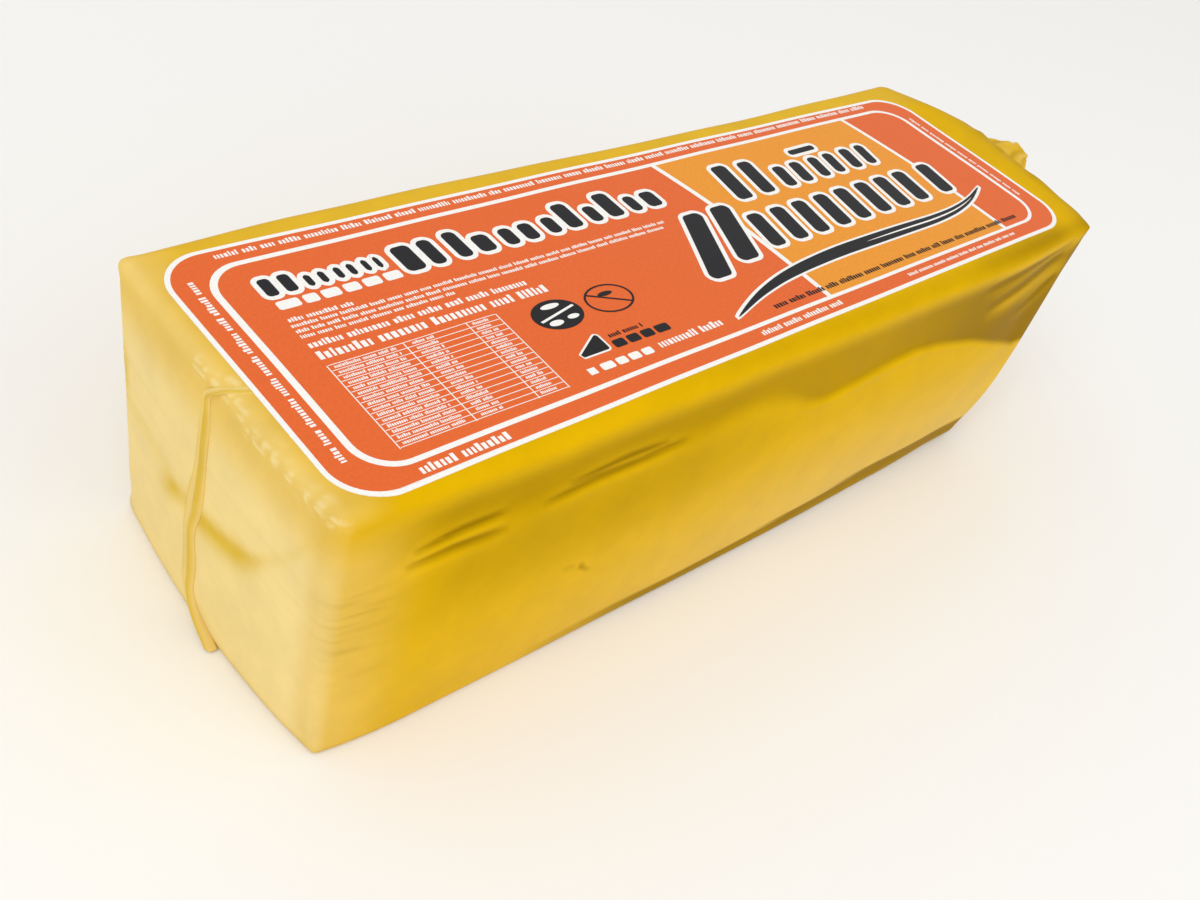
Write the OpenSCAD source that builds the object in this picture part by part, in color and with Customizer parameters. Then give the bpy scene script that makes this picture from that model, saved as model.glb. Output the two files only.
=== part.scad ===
// Loaf of processed cheddar, shrink-wrapped in yellow film, with a label on top.
// X runs along the loaf, from the end with the film's seam to the end with the film's tail.
// Z is up, and the origin is under the middle of the whole part, tail and seam included.

/* [Loaf] */
// Length of the top, from end edge to end edge along the long sides
loaf_l = 311; // [280:1:340]
// Width across the loaf at its ends
loaf_w = 104; // [100:1:110]
// Height from the base to the flat top
loaf_h = 92.5; // [84:0.5:104]
// How far each long side swells out
swell = 1.8; // [0:0.1:4]
// How much further the back swells near the seam end
back_swell = 3; // [0:0.1:4]
// How far the foot of both long sides draws in towards the tail end
foot_tuck = 2.5; // [0:0.1:4]
// Rounding of the long top edges
top_r = 5.8; // [4:0.1:7]
// Rounding of the long bottom edges
base_r = 4; // [3:0.5:8]
// Depth of the shallow waist under the front top edge
waist = 1.2; // [0:0.1:2]
// Height of that waist's middle above the base
waist_z = 75; // [68:1:78]

/* [Seam end] */
// How far the foot of the seam end stands back at its corners
near_back = 4.5; // [0:0.5:12]
// How far the long sides draw in towards the seam end
near_pinch = 2.5; // [0:0.5:4]
// How far the lower middle of the seam end bows out again
near_bow = 4; // [0:0.5:7]
// Rounding of both ends' upright edges
end_side_r = 6.5; // [3:0.5:9]
// Rounding of both ends' top edges
end_top_r = 4; // [2:0.5:5]

/* [Tail end] */
// How far the foot of the tail end stands back
far_back = 6.5; // [0:0.5:10]
// How much further the foot curls in close to the base
far_curl = 16; // [0:0.5:18]
// How far the upper middle of the tail end bulges out
far_bulge = 12; // [5:0.5:15]
// How much further its back half is plumped out
far_plump = 6; // [0:0.5:9]
// Depth of the pleats that run to the tail
pleat = 1.1; // [0:0.1:1.5]
// Number of those pleats
pleats = 7; // [5:1:9]

/* [Film seam] */
// Width of the seam fin lying on the end
seam_w = 6.6; // [4:0.2:8]
// Thickness of the folded fin
seam_t = 1.6; // [1:0.1:2.5]
// How far behind the middle the seam runs down from the top edge
seam_off = 4.8; // [2:0.2:8]
// How far behind the middle it has bowed in its lower half
seam_bow = 9.5; // [6:0.5:14]
// How far it slants to the front where it turns over the top edge
seam_slant = 10; // [0:0.5:12]
// How far the loose foot of the seam stands off the loaf
seam_lip = 2; // [1:0.5:6]

/* [Film tail] */
// Distance from the long side's end to the tail's tip
tail_reach = 34.5; // [28:0.5:40]
// How far behind the loaf's middle the tail stands
tail_off = 2; // [0:0.5:8]
// Height of the tail's middle above the base
tail_z = 84.5; // [80:0.5:85]
// Width of the crushed knob at the tip
tail_w = 14; // [13:1:22]
// Height of that knob
tail_h = 12; // [9:0.5:13.5]

/* [Label] */
// Length of the label
label_l = 301.8; // [280:0.1:304]
// Gap between the seam end's edge and the label
label_gap = 5; // [5:0.1:6]
// Width of the label next to the seam end
label_near_w = 97.2; // [90:0.2:98]
// Width of the label next to the tail end
label_far_w = 87.4; // [80:0.2:98]
// Shift of the label towards the front
label_shift = 1.1; // [0:0.1:1.5]
// Corner radius of the label
label_r = 13; // [10:0.5:18]
// Thickness of the label, drawn thick enough to build
label_t = 0.4; // [0.2:0.1:0.6]

/* [Hidden] */
// Steps round a corner, up a side, across the top or base, and along the body
corner_n = 5;
side_n = 12;
flat_n = 10;
body_n = 20;
// Steps round an end's edge, and from that edge to the middle of the end
round_n = 4;
cap_n = 6;
// How far the rounding of an end's edge reaches along the loaf
edge_d = 4;
// Lengths over which each end's shape fades into the straight body
near_zone = 45;
far_zone = 70;
pinch_zone = 35;
// Share of the height over which the tail end's foot curls in
curl_zone = 0.55;
// The plump back half of the tail end: its middle across the loaf and its half breadth
plump_y = 21;
plump_breadth = 20;
// The swollen back: its middle along the loaf and its half breadth
back_at = 70;
back_breadth = 75;
// Height over which the foot draws in
tuck_zone = 14;
// Where the waist starts to fall towards the tail end, how far it falls, and its half breadth
waist_from = 0.62;
waist_fall = 26;
waist_breadth = 7;
// Middle of the seam end's rings, and size of the smallest ring of both ends
cap_z = 44;
cap_min = 0.13;
// Clearance between a curved face and the piece that lies on it
face_gap = 0.15;
// The seam's bow: the height where it starts, and how far down it takes
bow_from = 66;
bow_over = 36;
// Length of seam over which it slants, counted down from the label
slant_over = 12;
// Thickness of the seam's tab on the top, and where it starts to turn, as shares of the fin's
tab_t = 0.3;
turn_t = 0.35;
// Share of the half width where the sides turn, and over which their moves fade in
side_from = 0.35;
side_over = 0.1;
// Distances from the seam end and from the tail end over which the waist fades in
waist_in = 40;
waist_out = 20;
// The seam's foot: its height, the hook to the front, and how high up hook and lip start
foot_z = 0.2;
foot_hook = 15;
hook_zone = 14;
lip_zone = 16;
// The tail's half width and half thickness where it leaves the loaf, its ruffles, and rings
neck_w = 6.4;
neck_t = 5.4;
ruffles = 8;
ruffle = 0.12;
tail_n = 9;
// How much the knob's tip closes in, how fast it rounds and grows, and its ruffles' twist
tip_close = 0.4;
rounding = 2.5;
growth = 1.3;
twist = 60;

function lerp(a, b, t) = a + (b - a) * t;
function clamp01(t) = max(0, min(1, t));
function smooth(t) = let(c = clamp01(t)) c * c * (3 - 2 * c);
function bell(d, w) = exp(-(d / w) * (d / w));
function side(y) = clamp01((abs(y) - side_from * loaf_w) / (side_over * loaf_w)) * sign(y);

// Offset of the seam end from upright, at a place across and up the loaf
function near_x(y, z) =
    let(u = 2 * y / loaf_w, v = z / loaf_h)
    near_back * (1 - v) - near_bow * (1 - u * u) * (1 - v * v);

// Offset of the tail end from upright, at a place across and up the loaf
function far_x(y, z) =
    let(u = 2 * y / loaf_w, v = z / loaf_h, foot = clamp01(1 - v / curl_zone))
    (far_bulge * pow(max(0, 1 - u * u), 0.8) + far_plump * bell(y - plump_y, plump_breadth))
    * lerp(0.35, 1, smooth(v)) - far_back * (1 - v) - far_curl * foot * foot;

// Outward move of the long sides: their swell, the drawn-in seam end and the front's waist
function side_y(x, y, z) =
    let(
        t = clamp01(x / loaf_l), v = 2 * z / loaf_h - 1, w = z / loaf_h,
        pinch = clamp01(1 - x / pinch_zone),
        dip = waist_z - waist_fall * smooth((t - waist_from) / (1 - waist_from)),
        ends = smooth(x / waist_in) * smooth((loaf_l - x) / waist_out)
    )
    side(y) * swell * (1 - pow(v, 4)) * sin(180 * pow(t, 0.6))
    - side(y) * foot_tuck * smooth(2 * t - 1) * bell(z, tuck_zone)
    + (y < 0
        ? waist * bell(z - dip, waist_breadth) * ends - side(y) * near_pinch * pinch * pinch * (1 - pow(w, 6))
        : side(y) * back_swell * bell(x - back_at, back_breadth));

// The true place of a point of the plain rounded box
function form(x, y, z) =
    let(near = clamp01(1 - x / near_zone), far = clamp01(1 - (loaf_l - x) / far_zone))
    [x + near * near * near_x(y, z) + far * far * far_x(y, z), y + side_y(x, y, z), z];

// Rounded rectangle across the loaf, drawn in from the full size at sides, base and top
function arc(y, z, r, from) =
    [for (i = [0 : corner_n]) [y + r * cos(from + 90 * i / corner_n), z + r * sin(from + 90 * i / corner_n)]];
function run(p, q, n) = [for (i = [1 : n - 1]) lerp(p, q, i / n)];
function section(in_side, in_base, in_top) =
    let(
        w = loaf_w / 2 - in_side, lo = in_base, hi = loaf_h - in_top,
        b = w - base_r, t = w - top_r
    )
    concat(
        arc(b, lo + base_r, base_r, -90),
        run([w, lo + base_r], [w, hi - top_r], side_n),
        arc(t, hi - top_r, top_r, 0),
        run([t, hi], [-t, hi], flat_n),
        arc(-t, hi - top_r, top_r, 90),
        run([-w, hi - top_r], [-w, lo + base_r], side_n),
        arc(-b, lo + base_r, base_r, 180),
        run([-b, lo], [b, lo], flat_n)
    );
function ring(x, sect) = [for (p = sect) form(x, p[0], p[1])];

// Rings of the caps: they shrink from the end's outline to a small flat patch
end_outline = section(end_side_r, base_r / 2, end_top_r);
near_mid = [0, cap_z];
tail_mid = [tail_off, tail_z];
root_x = loaf_l + far_x(tail_mid[0], tail_mid[1]);
function shrink(mid, s) = [for (p = end_outline) lerp(mid, p, s)];
function near_cap(s) =
    [for (p = shrink(near_mid, s))
        s > cap_min ? form(0, p[0], p[1]) : [near_x(near_mid[0], near_mid[1]), p[0], p[1]]];
function pleat_x(p, s) =
    pleat * sin(180 * s) * cos(pleats * atan2(p[1] - tail_mid[1], p[0] - tail_mid[0]));
function far_cap(s) =
    [for (p = shrink(tail_mid, s))
        s > cap_min ? form(loaf_l, p[0], p[1]) + [pleat_x(p, s), 0, 0] : [root_x, p[0], p[1]]];

// Rings of the rounded edges between the caps and the long body
function edge_ring(x, a) =
    let(c = 1 - cos(a))
    ring(x, section(end_side_r * c, base_r / 2 * c, end_top_r * c));
function near_round(a) = edge_ring(edge_d * (1 - sin(a)), a);
function far_round(a) = edge_ring(loaf_l - edge_d * (1 - sin(a)), a);

block_rings = concat(
    [for (i = [0 : cap_n - 1]) near_cap(lerp(cap_min, 1, i / cap_n))],
    [for (i = [0 : round_n - 1]) near_round(90 * (1 - i / round_n))],
    [for (i = [0 : body_n]) ring(lerp(edge_d, loaf_l - edge_d, i / body_n), section(0, 0, 0))],
    [for (i = [1 : round_n]) far_round(90 * i / round_n)],
    [for (i = [cap_n - 1 : -1 : 0]) far_cap(lerp(cap_min, 1, i / cap_n))]
);

// Closed solid through a list of equal loops, each end closed round its middle point
function middle(loop) = [for (k = [0 : 2]) [for (p = loop) p[k]] * [for (p = loop) 1 / len(loop)]];
module loft(rings) {
    n = len(rings[0]);
    m = len(rings);
    first = m * n;
    last = m * n + 1;
    points = concat([for (r = rings) for (p = r) p], [middle(rings[0]), middle(rings[m - 1])]);
    sides = [
        for (k = [0 : m - 2]) for (i = [0 : n - 1])
            let(j = (i + 1) % n, a = k * n + i, b = k * n + j)
            each [[a, a + n, b], [b, a + n, b + n]]
    ];
    ends = [
        for (i = [0 : n - 1])
            let(j = (i + 1) % n, a = (m - 1) * n)
            each [[i, j, first], [a + j, a + i, last]]
    ];
    polyhedron(points = points, faces = concat(sides, ends), convexity = 6);
}

module block() {
    color("gold")
        translate([-mid_x, 0, 0])
            loft(block_rings);
}

// Label: a rounded sheet that narrows towards the tail and bends over the long edges
function roll_drop(y) =
    let(d = max(0, abs(y) - (loaf_w / 2 - top_r)))
    top_r - sqrt(max(0, top_r * top_r - d * d));
function under_label(y) = loaf_h - roll_drop(y) + min(face_gap, roll_drop(y));
module label() {
    near_cx = label_gap + label_r;
    far_cx = label_gap + label_l - label_r;
    near_cy = label_near_w / 2 - label_r;
    far_cy = label_far_w / 2 - label_r;
    taper = atan((near_cy - far_cy) / (far_cx - near_cx));
    // Each corner: its centre, and the angles at which its arc starts and ends
    corners = [
        [near_cx, -near_cy, 180, 270 + taper], [far_cx, -far_cy, 270 + taper, 360],
        [far_cx, far_cy, 0, 90 - taper], [near_cx, near_cy, 90 - taper, 180]
    ];
    // The outline drawn in by some distance, laid on the loaf and raised by some height
    function outline(inset, up) = [
        for (c = corners) for (i = [0 : 6])
            let(
                a = lerp(c[2], c[3], i / 6), r = label_r - inset,
                x = c[0] + r * cos(a), y = c[1] + r * sin(a) - label_shift
            )
            [x, y, under_label(y) + up]
    ];
    insets = [8, 5.6, 3.6, 1.8, 0];
    color("orangered")
        translate([-mid_x, 0, 0])
            loft(concat(
                [for (i = [0 : 4]) outline(insets[i], 0)],
                [for (i = [4 : -1 : 0]) outline(insets[i], label_t)]
            ));
}

// Seam: a flat fin that starts on the top, turns over the edge and runs down the end
function seam_y(z) =
    let(foot = clamp01(1 - z / hook_zone))
    lerp(seam_off, seam_bow, smooth((bow_from - z) / bow_over)) - foot_hook * foot * foot;
function slant(path) = seam_slant * (1 - smooth(path / slant_over));
function seam_lift(z) = face_gap + seam_lip * pow(clamp01(1 - z / lip_zone), 2);
// Middle line of the fin's underside: place, direction it faces, and share of its thickness
tab = label_gap - 0.1;
turn_n = 5;
down_n = 20;
seam_path = concat(
    [[tab, seam_y(loaf_h) - slant(0), loaf_h, 90, tab_t]],
    [for (i = [0 : turn_n])
        let(
            t = i / turn_n, a = 90 * t, r = end_top_r + (i == 0 ? 0 : face_gap),
            z = loaf_h - end_top_r + r * cos(a), y = seam_y(z) - slant(tab - edge_d + end_top_r * PI / 2 * t)
        )
        [edge_d + (near_x(y, z) - r) * sin(a), y, z, 90 - a, lerp(turn_t, 1, t)]],
    [for (i = [1 : down_n])
        let(z = lerp(loaf_h - end_top_r, foot_z, i / down_n), y = seam_y(z))
        [near_x(y, z) - seam_lift(z), y, z, 0, 1]]
);
// The outermost points along X, and the middle between them
low_x = near_x(seam_y(foot_z), foot_z) - seam_lift(foot_z) - seam_t;
tip_x = loaf_l + tail_reach;
mid_x = (tip_x + low_x) / 2;
module seam() {
    h = seam_w / 2;
    t = seam_t;
    shape = [
        [0.9 * h, 0.5 * t], [0.5 * h, t], [-0.3 * h, t], [-0.9 * h, 0.55 * t], [-h, 0], [h, 0]
    ];
    rings = [
        for (p = seam_path)
            [for (q = shape) [p[0] - q[1] * p[4] * cos(p[3]), p[1] - q[0], p[2] + q[1] * p[4] * sin(p[3])]]
    ];
    color("khaki")
        translate([-mid_x, 0, 0])
            loft(rings);
}

// Tail: the film's end, pinched at the root and crushed into a ruffled knob
root_loop = shrink(tail_mid, cap_min);
module tail() {
    reach = tip_x - root_x;
    rings = [
        for (k = [0 : tail_n])
            let(
                t = k / tail_n, end = 1 - tip_close * pow(t, 6), grow = smooth(growth * t),
                wide = lerp(neck_w, tail_w / 2, grow) * end,
                thick = lerp(neck_t, tail_h / 2, grow) * end,
                round = smooth(rounding * t)
            )
            [for (p = root_loop)
                let(
                    y = p[0] - tail_off, h = p[1] - tail_z, a = atan2(h, y),
                    f = 1 + ruffle * cos(ruffles * a + twist * t),
                    y1 = wide * f * cos(a), h1 = thick * f * sin(a)
                )
                [root_x + reach * t, lerp(y, y1, round) + tail_off, tail_z + lerp(h, h1, round)]]
    ];
    color("goldenrod")
        translate([-mid_x, 0, 0])
            loft(rings);
}

block();
label();
seam();
tail();
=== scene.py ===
"""Shrink-wrapped cheddar loaf: tight yellow film, printed label, film seam and gathered tail."""

import math
import random
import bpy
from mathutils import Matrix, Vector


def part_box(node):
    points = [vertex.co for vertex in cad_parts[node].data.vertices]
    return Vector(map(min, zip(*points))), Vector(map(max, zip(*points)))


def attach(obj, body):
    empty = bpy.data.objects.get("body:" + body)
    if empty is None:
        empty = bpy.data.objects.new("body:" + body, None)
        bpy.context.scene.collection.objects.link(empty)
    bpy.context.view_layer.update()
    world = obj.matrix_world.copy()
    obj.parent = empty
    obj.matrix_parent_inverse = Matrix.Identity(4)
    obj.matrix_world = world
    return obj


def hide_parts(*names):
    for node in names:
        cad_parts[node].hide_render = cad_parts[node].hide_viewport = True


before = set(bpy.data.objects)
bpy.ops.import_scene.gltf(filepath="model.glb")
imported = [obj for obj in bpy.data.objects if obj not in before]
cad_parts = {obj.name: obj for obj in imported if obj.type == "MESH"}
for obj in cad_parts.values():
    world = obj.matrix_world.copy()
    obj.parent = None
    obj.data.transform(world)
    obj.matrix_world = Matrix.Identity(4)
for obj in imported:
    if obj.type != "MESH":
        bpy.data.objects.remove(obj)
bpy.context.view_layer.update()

from types import SimpleNamespace

import bmesh
import bpy
import numpy as np
from bpy.props import FloatProperty, FloatVectorProperty, PointerProperty
from mathutils import Euler, Matrix, Vector
from mathutils.bvhtree import BVHTree

bl_info = {
    "name": "Cheddar Loaf",
    "version": (1, 0, 0),
    "blender": (4, 5, 0),
    "location": "View3D > Sidebar > Loaf",
    "description": "Builds a film-wrapped cheddar loaf with its label, seam and tail",
    "category": "Object",
}

MM = 0.001
BODY = "root"

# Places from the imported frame, in millimetres. Meshes are made with x = 0 at the seam end's
# top edge, and moved into the frame when they are finished.
LOAF_H = (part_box("block")[1] / MM).z
LABEL_GAP = 5.0
ORIGIN_X = (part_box("label")[0] / MM).x - LABEL_GAP
TAIL_LO, TAIL_HI = (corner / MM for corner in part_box("tail"))
TAIL_MID = (TAIL_LO + TAIL_HI) / 2
TAIL_Y, TAIL_Z = TAIL_MID.y, TAIL_MID.z


# ---- colour and number helpers

def linear(code):
    """An sRGB hex colour as linear RGBA."""
    parts = [int(code[i:i + 2], 16) / 255 for i in (1, 3, 5)]
    return (
        *(c / 12.92 if c <= 0.04045 else ((c + 0.055) / 1.055) ** 2.4 for c in parts), 1.0)


def smooth(t):
    """A step from 0 at t = 0 to 1 at t = 1, level at both ends."""
    c = np.clip(t, 0.0, 1.0)
    return c * c * (3 - 2 * c)


def bell(d, width):
    """A hump, 1 where d is 0 and almost gone at twice the width."""
    return np.exp(-np.square(d / width))


def mix(a, b, t):
    """The value at share t of the way from a to b."""
    return a + (b - a) * t


def path_distance(u, v, path):
    """Distance of points (u, v) from an open path, and where along it (0 to 1) it is nearest."""
    best = np.full(np.shape(u), 1e9)
    along = np.zeros(np.shape(u))
    count = len(path) - 1
    for i in range(count):
        (u0, v0), (u1, v1) = path[i], path[i + 1]
        du, dv = u1 - u0, v1 - v0
        t = np.clip(((u - u0) * du + (v - v0) * dv) / (du * du + dv * dv), 0, 1)
        d = np.hypot(u - u0 - t * du, v - v0 - t * dv)
        along = np.where(d < best, (i + t) / count, along)
        best = np.minimum(best, d)
    return best, along


def waves(u, v, seed, size, count=7):
    """Smooth random relief between about -1 and 1, made of crossing sine waves of one size."""
    rng = random.Random(seed)
    total = 0
    for _ in range(count):
        angle = rng.uniform(0, math.pi)
        step = 2 * math.pi / (size * rng.uniform(0.7, 1.5))
        across = u * math.cos(angle) + v * math.sin(angle)
        total = total + np.sin(step * across + rng.uniform(0, 6.3))
    return total / math.sqrt(count * 2)


# ---- form of the loaf

# Seam end: how far its foot stands back, its bow, and the length of loaf that leans with it
NEAR_BACK, NEAR_BOW, NEAR_ZONE = 4.5, 4.0, 45.0
NEAR_PINCH, PINCH_ZONE = 2.5, 35.0
# Tail end: how far its foot stands back and curls in, and the zones that do so
FAR_BACK, FAR_CURL, CURL_ZONE, FAR_ZONE = 6.5, 16.0, 0.55, 70.0
# Its bulge, the plumper place in it, and the share of both that is left at the foot
FAR_BULGE, PLUMP_BULGE, PLUMP_Y, PLUMP_BREADTH = 12.0, 6.0, 21.0, 20.0
FOOT_BULGE = 0.35
# Its front edge: flared out along the loaf and drawn in from the side
FRONT_FLARE, FLARE_Y, FLARE_ZONE = 1.8, 30.0, 16.0
FAR_PINCH, FAR_PINCH_ZONE = 2.0, 45.0
# Long sides: the back's extra swell, the tuck at the foot and the hem of film under it
BACK_SWELL, BACK_SWELL_X, BACK_SWELL_BREADTH = 3.0, 70.0, 75.0
FOOT_TUCK, TUCK_ZONE = 2.5, 14.0
HEM, HEM_Z, HEM_BREADTH = 0.4, 1.0, 2.2
# How sharp the rounded edges are made, from 0 to 1: at the foot, and at the tail end's top
NEAR_FOOT_SHARP, FAR_FOOT_SHARP = 0.8, 0.15
FRONT_TOP_SHARP, BACK_TOP_SHARP = 0.65, 0.25
# Top corners where the film stands out: end (0 or 1), side (-1 or 1) and how far
CORNER_PULLS = ((0, 1, 1.3), (1, 1, 0.3), (1, -1, 0.4))
PULL_BREADTH = 3.4


def near_offset(s, y, z):
    """How far the seam end leans from upright."""
    u, v = 2 * y / s.width, z / s.height
    return NEAR_BACK * (1 - v) - NEAR_BOW * (1 - u * u) * (1 - v * v)


def far_offset(s, y, z):
    """How far the tail end bulges out, and how its foot curls in."""
    u, v = 2 * y / s.width, z / s.height
    foot = np.clip(1 - v / CURL_ZONE, 0, 1)
    bulge = FAR_BULGE * np.power(np.clip(1 - u * u, 0, 1), 0.8)
    bulge = bulge + PLUMP_BULGE * bell(y - PLUMP_Y, PLUMP_BREADTH)
    bulge = bulge + FRONT_FLARE * smooth((-y - FLARE_Y) / FLARE_ZONE)
    return bulge * mix(FOOT_BULGE, 1, smooth(v)) - FAR_BACK * (1 - v) - FAR_CURL * foot * foot


def side_offset(s, x, y, z):
    """How far the long sides swell out, and draw in towards both ends."""
    t = np.clip(x / s.length, 0, 1)
    v = 2 * z / s.height - 1
    w = z / s.height
    pinch = np.clip(1 - x / PINCH_ZONE, 0, 1)
    side = np.clip((np.abs(y) - 0.35 * s.width) / (0.1 * s.width), 0, 1) * np.sign(y)
    swell = s.swell * (1 - v ** 4) * np.sin(math.pi * t ** 0.6)
    tuck = FOOT_TUCK * smooth((t - 0.5) / 0.5) * bell(z, TUCK_ZONE)
    front = np.minimum(side, 0) * -NEAR_PINCH * pinch * pinch * (1 - w ** 6)
    back = np.maximum(side, 0) * BACK_SWELL * bell(x - BACK_SWELL_X, BACK_SWELL_BREADTH)
    drawn_in = smooth((x - s.length + FAR_PINCH_ZONE) / FAR_PINCH_ZONE) * smooth((z - 5) / 50)
    front = front - np.minimum(side, 0) * FAR_PINCH * drawn_in
    hem = HEM * bell(z - HEM_Z, HEM_BREADTH)
    return side * (swell - tuck + hem) + front + back


def crisp_edges(s, x, y, z):
    """Sharpens the box's rounded edges round the foot and at the tail end."""
    dx = x - np.clip(x, s.edge, s.length - s.edge)
    dy = y - np.clip(y, s.edge - s.width / 2, s.width / 2 - s.edge)
    dz = z - np.clip(z, s.edge, s.height - s.edge)
    reach = np.maximum(np.maximum(np.abs(dx), np.abs(dy)), np.maximum(np.abs(dz), 0.1 * s.edge))
    tail_top = smooth((x - s.length + 60) / 50) * smooth((z - 66) / 20)
    foot_sharp = mix(NEAR_FOOT_SHARP, FAR_FOOT_SHARP, smooth((x - s.length + 70) / 50))
    foot = smooth((8 - z) / 5) * foot_sharp
    share = np.maximum(foot, tail_top * mix(FRONT_TOP_SHARP, BACK_TOP_SHARP, smooth(y / 30)))
    push = share * (s.edge / reach - 1)
    return x + push * dx, y + push * dy, z + push * dz


def loaf_form(s, x, y, z):
    """Places of a plain rounded box turned into places on the real loaf."""
    x, y, z = crisp_edges(s, x, y, z)
    near = np.clip(1 - x / NEAR_ZONE, 0, 1) ** 2
    far = np.clip(1 - (s.length - x) / FAR_ZONE, 0, 1) ** 2
    pull = 0
    for end, side, amount in CORNER_PULLS:
        dx, dy, dz = x - end * s.length, y - side * s.width / 2, z - s.height
        pull = pull + amount * bell(np.sqrt(dx * dx + dy * dy + dz * dz), PULL_BREADTH)
    return (
        x + near * near_offset(s, y, z) + far * far_offset(s, y, z) + pull * np.sign(x - 20),
        y + side_offset(s, x, y, z) + pull * np.sign(y),
        z + 0.25 * pull,
    )


# Creases along the front side: (x, z) path, half breadth and depth
FRONT_CREASES = (
    (((20, 68.2), (34, 69.2), (51, 68.6)), 1.7, 0.7),
    (((22, 72.6), (36, 74.2), (50, 74.4)), 1.3, 0.4),
    (((62, 71.6), (80, 72.6), (96, 72.4), (114, 73.2)), 1.3, 0.6),
    (((70, 74.6), (90, 75.6), (106, 75.2)), 1.1, 0.3),
    (((78, 39.5), (84, 36.8), (89, 33)), 0.9, 0.25),
    (((262, 72), (280, 76), (302, 84)), 2.2, 0.4),
    (((254, 82), (276, 84), (304, 88)), 1.8, 0.25),
    (((286, 62), (296, 66), (305, 74)), 1.8, 0.3),
)
# Lower edge of the hollow under the front top edge, and of the painted shade in it, as an (x, z)
# path
BAND_EDGE = (
    (20, 67.5), (110, 68.5), (140, 70), (154, 68), (168, 64), (178, 62.8), (190, 64), (205, 65.6),
    (222, 66.6), (235, 64.6), (248, 61.2), (262, 57.2), (280, 50.2), (300, 42.5))
# Path of a painted highlight, a lighter streak in the hollow near the tail end
HIGHLIGHT_STREAK = ((258, 70), (280, 71), (304, 77))
# Folds of the film envelope on the seam end as (y, z) paths
FRONT_FOLD = ((8, 41), (-2, 43), (-12, 45.5), (-20, 50), (-28, 58), (-35, 66), (-42, 76), (-50, 86))
BACK_FOLD = ((46, 46), (34, 46), (22, 44))
FOLD_SPOT = (19.5, 39.5)


class Skin:
    """The loaf's vertices as arrays: places, the share that faces each way, relief and fields.

    The functions below add to the relief, in millimetres, and to the film's fields, from 0 to 1:
    painted light, painted shade, and a fold tone that is partly painted shade.
    Their numbers are places and breadths in millimetres, and strengths.
    """

    def __init__(self, length, x, y, z, normal):
        self.length = length
        self.x, self.y, self.z = x, y, z
        nx, ny, nz = normal.T
        self.front, self.back = np.clip(-ny, 0, 1), np.clip(ny, 0, 1)
        self.near, self.far = np.clip(-nx, 0, 1), np.clip(nx, 0, 1)
        self.top, self.base = np.clip(nz, 0, 1), np.clip(-nz, 0, 1)
        self.relief, self.pale, self.deep, self.fold_and_shade = (np.zeros_like(x) for _ in range(4))


def hollow(skin):
    """The hollow under the front top edge, its lower lip crisp towards the tail end, with painted
    shade in it.
    """
    x, y, z = skin.x, skin.y, skin.z
    lip_z = np.interp(x, [p[0] for p in BAND_EDGE], [p[1] for p in BAND_EDGE])
    crisp = smooth((x - 150) / 30)
    above = smooth((z - lip_z) / mix(9.0, 2.4, crisp))
    sunk = above * smooth((90.5 - z) / 10) * smooth((x - 6) / 30)
    fade = skin.front * smooth((skin.length - 2 - x) / 14)
    skin.relief -= 1.1 * sunk * fade
    # Painted shade in the hollow, and on the tail end's face beside the front top edge
    skin.deep += skin.front * sunk * mix(0.6, 1.0, smooth((x - 190) / 90))
    skin.deep += 0.7 * skin.far * above * smooth((90.5 - z) / 5) * smooth((-y - 34) / 14)
    # Softer painted shade below it along the nearer half
    nearer = smooth((x - 14) / 30) * smooth((190 - x) / 90)
    skin.deep += skin.front * 0.36 * bell(z - 61, 17) * nearer * (1 - above)
    # Painted highlight along the streak
    streak, along = path_distance(x, z, HIGHLIGHT_STREAK)
    skin.deep -= skin.front * 0.5 * bell(streak, 4.4) * smooth(along / 0.4)
    skin.relief += 0.35 * bell(z - lip_z + 0.6, 1.6) * crisp * fade


def creases(skin):
    """Creases along the front side, each a groove with a ridge on both sides, with painted shade in
    the groove and a painted highlight on the ridges.
    """
    x, z = skin.x, skin.z
    for path, breadth, depth in FRONT_CREASES:
        d, along = path_distance(x, z, path)
        taper = np.sqrt(np.clip(4 * along * (1 - along), 0, 1))
        taper = taper * skin.front
        line = bell(d, breadth) * taper
        ridge = bell(d, 2.6 * breadth) * taper - line
        skin.relief -= depth * line
        skin.relief += 0.6 * depth * ridge
        # Painted shade in the groove, painted highlight on the ridges
        skin.deep += 0.7 * line
        skin.deep -= 0.35 * ridge


def hem(skin):
    """Film doubled under the foot of the long sides, more towards the tail end; the darkening along
    it is painted shade.
    """
    x, z = skin.x, skin.z
    height = mix(5.0, 10.0, smooth((x - 120) / 150))
    under = smooth((height - z) / 1.4) * smooth((x - 60) / 70)
    faces = np.clip(skin.front + skin.back + skin.base + skin.far, 0, 1)
    # Painted shade along the foot
    skin.deep += faces * 0.95 * under
    skin.relief -= skin.front * 0.4 * under * smooth((skin.length - 15 - x) / 20)


def wrinkles(skin):
    """Wrinkles across the front upright edge, and puckers along the seam end's top edge, with
    painted shade in the wrinkles' troughs and painted highlight flecks on the puckers.
    """
    x, y, z = skin.x, skin.y, skin.z
    upright = bell(x - 9, 11) * smooth((72 - z) / 10) * smooth((z - 20) / 16)
    wrinkle = waves(x * 0.12, z, 21, 3.4, 9) * upright * (skin.front + 0.4 * skin.near)
    skin.relief += 0.3 * wrinkle
    # Painted shade in the wrinkles' troughs
    skin.deep += 0.16 * np.clip(-wrinkle, 0, 1)
    pucker_y = smooth((16 - y) / 6) * smooth((y + 54) / 8)
    wander = 1.2 * waves(y, 0 * y, 31, 26)
    ridge_line = bell(z - 89.5 - wander, 1.7) * pucker_y * smooth((5 - x) / 2)
    flecks = np.clip(1.6 * waves(y, 2.2 * z, 23, 4.6, 9), -1, 1)
    skin.relief += 0.24 * ridge_line * flecks
    # Painted highlight flecks on the puckers
    skin.pale += ridge_line * np.clip(flecks, 0, 1)


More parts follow.
